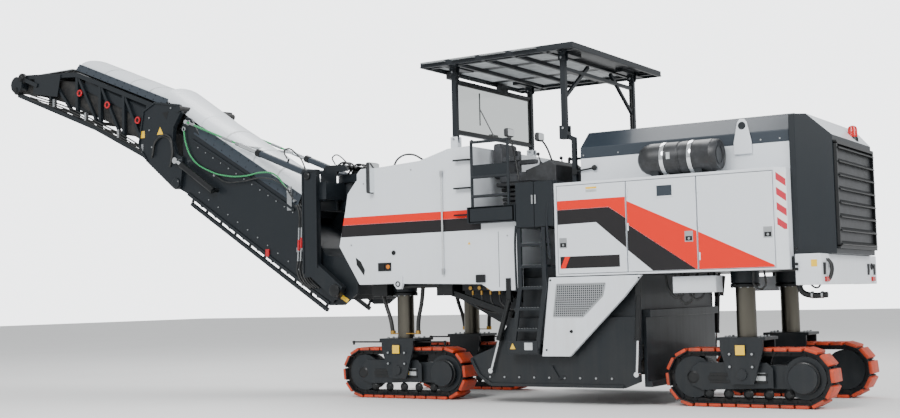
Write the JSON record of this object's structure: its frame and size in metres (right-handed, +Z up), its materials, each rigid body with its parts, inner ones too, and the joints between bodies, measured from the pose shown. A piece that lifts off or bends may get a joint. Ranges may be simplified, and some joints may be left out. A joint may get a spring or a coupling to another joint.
{
  "type": "cold planer milling machine",
  "caption": "Large cold planer on steered, height-adjustable tracks, with a milling drum amidships, a canopy and a slewing, folding front-loading belt conveyor.",
  "frame": {"origin": "on the ground under the middle of the machine's overall length and width", "axes": "+X to the machine's rear, +Y to its right side as seen from the driving seat facing forward (-X), +Z up"},
  "size_m": [12.86, 2.535, 4.835],
  "materials": {
    "white_enamel": "semi-gloss enamel",
    "charcoal_enamel": "semi-gloss enamel",
    "slate_enamel": "satin enamel",
    "ground_steel": "ground and hard chromed",
    "cast_steel": "cast and dull",
    "orange_pad": "moulded polyurethane",
    "black_plastic": "moulded",
    "tinted_glass": "lightly tinted",
    "seat_vinyl": "padded vinyl"
  },
  "bodies": {
    "chassis": {"chassis_frame": "charcoal_enamel", "front_hull": "white_enamel", "engine_body": "white_enamel", "engine_block": "cast_steel", "rear_cowl": "charcoal_enamel", "tail_box": "white_enamel", "drum_housing": "charcoal_enamel", "left_step_skirt": "white_enamel", "right_step_skirt": "white_enamel", "primary_conveyor": "charcoal_enamel", "slew_bracket": "charcoal_enamel", "operator_platform": "charcoal_enamel", "operator_seat": "seat_vinyl", "control_console": "black_plastic", "equipment_cabinet": "charcoal_enamel", "left_ladder": "charcoal_enamel", "right_ladder": "charcoal_enamel", "left_canopy_foot": "charcoal_enamel", "right_canopy_foot": "charcoal_enamel", "air_cleaner": "black_plastic"},
    "front_left_leg": {"front_left_leg_tube": "ground_steel"},
    "front_left_track": {"front_left_shoes": "orange_pad", "front_left_track_frame": "charcoal_enamel"},
    "front_right_leg": {"front_right_leg_tube": "ground_steel"},
    "front_right_track": {"front_right_shoes": "orange_pad", "front_right_track_frame": "charcoal_enamel"},
    "rear_left_leg": {"rear_left_leg_tube": "ground_steel"},
    "rear_left_track": {"rear_left_shoes": "orange_pad", "rear_left_track_frame": "charcoal_enamel"},
    "rear_right_leg": {"rear_right_leg_tube": "ground_steel"},
    "rear_right_track": {"rear_right_shoes": "orange_pad", "rear_right_track_frame": "charcoal_enamel"},
    "mast": {"slewing_mast": "charcoal_enamel"},
    "lower_conveyor": {"lower_conveyor_frame": "charcoal_enamel"},
    "upper_conveyor": {"upper_conveyor_frame": "charcoal_enamel"},
    "lift_cylinders": {"lift_cylinder_barrels": "charcoal_enamel"},
    "lift_rods": {"lift_cylinder_rods": "ground_steel"},
    "fold_cylinders": {"left_fold_barrel": "charcoal_enamel", "right_fold_barrel": "charcoal_enamel"},
    "fold_rods": {"left_fold_rod": "ground_steel", "right_fold_rod": "ground_steel"},
    "milling_drum": {"milling_drum_body": "cast_steel"},
    "left_side_plate": {"left_side_plate_skid": "charcoal_enamel"},
    "right_side_plate": {"right_side_plate_skid": "charcoal_enamel"},
    "scraper": {"scraper_blade": "charcoal_enamel"},
    "hood": {"engine_hood": "slate_enamel"},
    "canopy_front": {"canopy_front_posts": "charcoal_enamel", "windscreen": "tinted_glass"},
    "canopy_rear": {"canopy_rear_posts": "charcoal_enamel"},
    "canopy_roof": {"canopy_roof_panel": "slate_enamel"},
    "left_front_door": {"left_front_door_panel": "white_enamel"},
    "left_middle_door": {"left_middle_door_panel": "white_enamel"},
    "left_rear_door": {"left_rear_door_panel": "white_enamel"},
    "right_front_door": {"right_front_door_panel": "white_enamel"},
    "right_middle_door": {"right_middle_door_panel": "white_enamel"},
    "right_rear_door": {"right_rear_door_panel": "white_enamel"},
    "cabinet_fore_door": {"cabinet_fore_door_panel": "charcoal_enamel"},
    "cabinet_aft_door": {"cabinet_aft_door_panel": "charcoal_enamel"}
  },
  "joints": [
    {"name": "front_left_leg_lift", "type": "slide", "parent": "chassis", "child": "front_left_leg", "axis": [0, 0, 1], "range_m": [-0.1, 0.4]},
    {"name": "front_left_steering", "type": "hinge", "parent": "front_left_leg", "child": "front_left_track", "pos_m": [1.185, -0.765, 0.72], "axis": [0, 0, 1], "range_deg": [-25, 25]},
    {"name": "front_right_leg_lift", "type": "slide", "parent": "chassis", "child": "front_right_leg", "axis": [0, 0, 1], "range_m": [-0.1, 0.4]},
    {"name": "front_right_steering", "type": "hinge", "parent": "front_right_leg", "child": "front_right_track", "pos_m": [1.185, 0.765, 0.72], "axis": [0, 0, 1], "range_deg": [-25, 25]},
    {"name": "rear_left_leg_lift", "type": "slide", "parent": "chassis", "child": "rear_left_leg", "axis": [0, 0, 1], "range_m": [-0.1, 0.4]},
    {"name": "rear_left_steering", "type": "hinge", "parent": "rear_left_leg", "child": "rear_left_track", "pos_m": [5.465, -0.725, 0.72], "axis": [0, 0, 1], "range_deg": [-20, 20]},
    {"name": "rear_right_leg_lift", "type": "slide", "parent": "chassis", "child": "rear_right_leg", "axis": [0, 0, 1], "range_m": [-0.1, 0.4]},
    {"name": "rear_right_steering", "type": "hinge", "parent": "rear_right_leg", "child": "rear_right_track", "pos_m": [5.465, 0.725, 0.72], "axis": [0, 0, 1], "range_deg": [-20, 20]},
    {"name": "mast_slew", "type": "hinge", "parent": "chassis", "child": "mast", "pos_m": [-0.155, 0, 2.5], "axis": [0, 0, 1], "range_deg": [-45, 45]},
    {"name": "conveyor_lift", "type": "hinge", "parent": "mast", "child": "lower_conveyor", "pos_m": [0.015, 0, 1.32], "axis": [0, -1, 0], "range_deg": [-4, 28]},
    {"name": "conveyor_fold", "type": "hinge", "parent": "lower_conveyor", "child": "upper_conveyor", "pos_m": [-2.865, 0, 2.9], "axis": [0, -1, 0], "range_deg": [0, 60]},
    {"name": "lift_cylinder_tilt", "type": "hinge", "parent": "mast", "child": "lift_cylinders", "pos_m": [-0.405, 0, 2.82], "axis": [0, -1, 0], "range_deg": [-6, 36]},
    {"name": "lift_rod_stroke", "type": "slide", "parent": "lift_cylinders", "child": "lift_rods", "axis": [-0.9251, 0, 0.3797], "range_m": [-0.11, 0.72]},
    {"name": "fold_cylinder_tilt", "type": "hinge", "parent": "lower_conveyor", "child": "fold_cylinders", "pos_m": [-2.105, 0, 2.74], "axis": [0, -1, 0], "range_deg": [0, 15]},
    {"name": "fold_rod_stroke", "type": "slide", "parent": "fold_cylinders", "child": "fold_rods", "axis": [-0.8302, 0, 0.5574], "range_m": [0, 0.24]},
    {"name": "drum_spin", "type": "hinge", "parent": "chassis", "child": "milling_drum", "pos_m": [3.695, 0, 0.78], "axis": [0, 1, 0], "continuous": true},
    {"name": "left_side_plate_lift", "type": "slide", "parent": "chassis", "child": "left_side_plate", "axis": [0, 0, 1], "range_m": [-0.02, 0.3]},
    {"name": "right_side_plate_lift", "type": "slide", "parent": "chassis", "child": "right_side_plate", "axis": [0, 0, 1], "range_m": [-0.02, 0.3]},
    {"name": "scraper_lift", "type": "slide", "parent": "chassis", "child": "scraper", "axis": [0, 0, 1], "range_m": [0, 0.3]},
    {"name": "hood_hinge", "type": "hinge", "parent": "chassis", "child": "hood", "pos_m": [6.065, 0, 3.01], "axis": [0, 1, 0], "range_deg": [0, 45]},
    {"name": "canopy_fold", "type": "hinge", "parent": "chassis", "child": "canopy_front", "pos_m": [2.065, 0, 3.06], "axis": [0, -1, 0], "range_deg": [0, 80]},
    {"name": "canopy_rear_fold", "type": "hinge", "parent": "chassis", "child": "canopy_rear", "pos_m": [3.515, 0, 3.06], "axis": [0, -1, 0], "range_deg": [0, 80]},
    {"name": "canopy_roof_level", "type": "hinge", "parent": "canopy_front", "child": "canopy_roof", "pos_m": [2.065, 0, 3.86], "axis": [0, -1, 0], "range_deg": [-80, 0]},
    {"name": "left_front_door_hinge", "type": "hinge", "parent": "chassis", "child": "left_front_door", "pos_m": [4.359, -1.22, 1.42], "axis": [0, 0, 1], "range_deg": [0, 90]},
    {"name": "left_middle_door_hinge", "type": "hinge", "parent": "chassis", "child": "left_middle_door", "pos_m": [4.371, -1.22, 1.42], "axis": [0, 0, -1], "range_deg": [0, 90]},
    {"name": "left_rear_door_hinge", "type": "hinge", "parent": "chassis", "child": "left_rear_door", "pos_m": [5.161, -1.22, 1.42], "axis": [0, 0, -1], "range_deg": [0, 90]},
    {"name": "right_front_door_hinge", "type": "hinge", "parent": "chassis", "child": "right_front_door", "pos_m": [4.359, 1.22, 1.42], "axis": [0, 0, -1], "range_deg": [0, 90]},
    {"name": "right_middle_door_hinge", "type": "hinge", "parent": "chassis", "child": "right_middle_door", "pos_m": [4.371, 1.22, 1.42], "axis": [0, 0, 1], "range_deg": [0, 90]},
    {"name": "right_rear_door_hinge", "type": "hinge", "parent": "chassis", "child": "right_rear_door", "pos_m": [5.161, 1.22, 1.42], "axis": [0, 0, 1], "range_deg": [0, 90]},
    {"name": "cabinet_fore_door_hinge", "type": "hinge", "parent": "chassis", "child": "cabinet_fore_door", "pos_m": [3.0313, -1.2425, 1.95], "axis": [0, 0, -1], "range_deg": [0, 90]},
    {"name": "cabinet_aft_door_hinge", "type": "hinge", "parent": "chassis", "child": "cabinet_aft_door", "pos_m": [3.4987, -1.2425, 1.95], "axis": [0, 0, 1], "range_deg": [0, 90]}
  ],
  "couplings": [
    {"joint": "front_right_steering", "follows": "front_left_steering", "ratio": 1},
    {"joint": "rear_right_steering", "follows": "rear_left_steering", "ratio": 1},
    {"joint": "lift_cylinder_tilt", "follows": "conveyor_lift", "ratio": 1.2244},
    {"joint": "lift_rod_stroke", "follows": "conveyor_lift", "m_per_rad": 1.4068},
    {"joint": "fold_cylinder_tilt", "follows": "conveyor_fold", "ratio": 0.2185},
    {"joint": "fold_rod_stroke", "follows": "conveyor_fold", "m_per_rad": 0.2264},
    {"joint": "canopy_rear_fold", "follows": "canopy_fold", "ratio": 1},
    {"joint": "canopy_roof_level", "follows": "canopy_fold", "ratio": -1}
  ]
}
